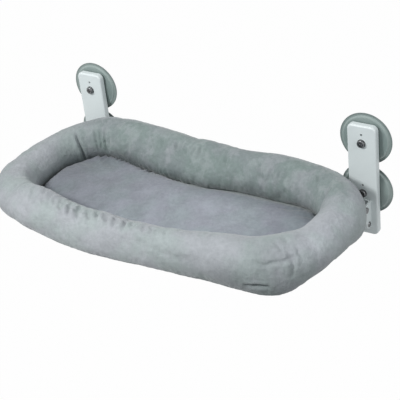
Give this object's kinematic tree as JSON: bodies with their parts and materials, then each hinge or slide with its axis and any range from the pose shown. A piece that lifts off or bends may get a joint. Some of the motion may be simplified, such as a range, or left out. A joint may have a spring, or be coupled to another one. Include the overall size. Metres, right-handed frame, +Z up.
{
  "type": "window mounted cat perch",
  "caption": "Plush cat bed on a tube frame, hinged to brackets that suction cups hold on a window.",
  "frame": {"origin": "on the glass, midway between the four suction cups", "axes": "+X to the right as seen from the room, -Y into the room, +Z up"},
  "size_m": [0.6361, 0.3271, 0.214],
  "materials": {
    "cup_rubber": "translucent satin",
    "hub_plastic": "satin",
    "plated_steel": "satin",
    "bracket_paint": "satin powder coat",
    "knuckle_metal": "satin",
    "frame_paint": "satin",
    "spacer_plastic": "matte",
    "sleeve_fabric": "woven",
    "plush_fabric": "short plush",
    "pad_fabric": "short plush"
  },
  "bodies": {
    "brackets": {"left_upper_cup": "cup_rubber", "left_upper_nut": "plated_steel", "left_upper_hub": "hub_plastic", "left_upper_washer": "plated_steel", "left_upper_screw": "plated_steel", "left_lower_cup": "cup_rubber", "left_lower_nut": "plated_steel", "left_lower_hub": "hub_plastic", "left_lower_washer": "plated_steel", "left_lower_screw": "plated_steel", "left_bracket": "bracket_paint", "left_yoke": "bracket_paint", "left_yoke_rivets": "plated_steel", "left_hinge_pin": "plated_steel", "left_pin_clip": "plated_steel", "left_hinge_spacers": "spacer_plastic", "left_stop_pin": "plated_steel", "right_upper_cup": "cup_rubber", "right_upper_nut": "plated_steel", "right_upper_hub": "hub_plastic", "right_upper_washer": "plated_steel", "right_upper_screw": "plated_steel", "right_lower_cup": "cup_rubber", "right_lower_nut": "plated_steel", "right_lower_hub": "hub_plastic", "right_lower_washer": "plated_steel", "right_lower_screw": "plated_steel", "right_bracket": "bracket_paint", "right_yoke": "bracket_paint", "right_yoke_rivets": "plated_steel", "right_hinge_pin": "plated_steel", "right_pin_clip": "plated_steel", "right_hinge_spacers": "spacer_plastic", "right_stop_pin": "plated_steel"},
    "bed": {"left_knuckle": "knuckle_metal", "left_knuckle_pin": "plated_steel", "left_frame_tube": "frame_paint", "right_knuckle": "knuckle_metal", "right_knuckle_pin": "plated_steel", "right_frame_tube": "frame_paint", "rail_connector": "plated_steel", "connector_pins": "plated_steel", "cross_tube": "frame_paint", "rear_sleeve": "sleeve_fabric", "frame_sleeve": "sleeve_fabric", "base_panel": "sleeve_fabric", "bolster": "plush_fabric", "floor_pad": "pad_fabric"}
  },
  "joints": [
    {"name": "fold", "type": "hinge", "parent": "brackets", "child": "bed", "pos_m": [0, -0.036, -0.066], "axis": [-1, 0, 0], "range_deg": [0, 80], "deforming": ["bolster"]}
  ]
}
